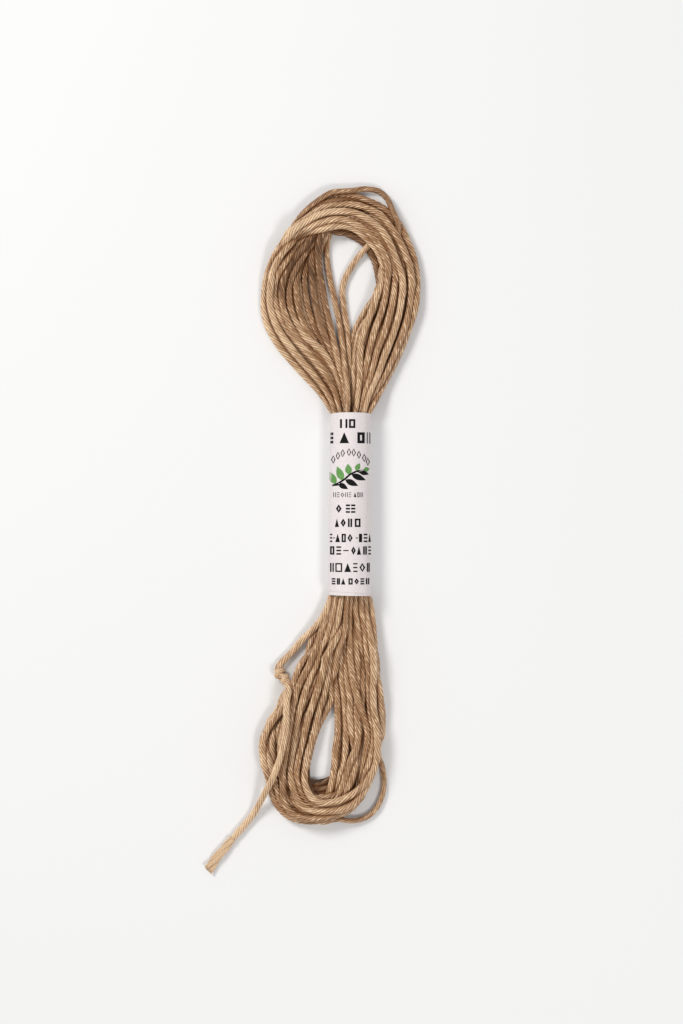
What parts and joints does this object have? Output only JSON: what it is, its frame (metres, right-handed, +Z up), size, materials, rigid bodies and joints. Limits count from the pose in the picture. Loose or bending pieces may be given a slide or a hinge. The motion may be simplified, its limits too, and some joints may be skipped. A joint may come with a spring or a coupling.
{
  "type": "skein of embroidery floss",
  "caption": "Tan twisted silk embroidery floss wound as a flat skein with open looped ends, a paper band round its waist and a loose tail.",
  "frame": {"origin": "middle of the paper band's flat underside, on the surface that the skein lies on", "axes": "+Y along the skein from the band to the larger loop, +Z up from the surface, +X to the right of the skein seen from above"},
  "size_m": [0.0418, 0.1321, 0.0069],
  "materials": {
    "silk_thread": "lustrous",
    "band_paper": "matte"
  },
  "bodies": {
    "root": {"floss_skein": "silk_thread", "loose_end": "silk_thread", "paper_band": "band_paper"}
  },
  "joints": []
}
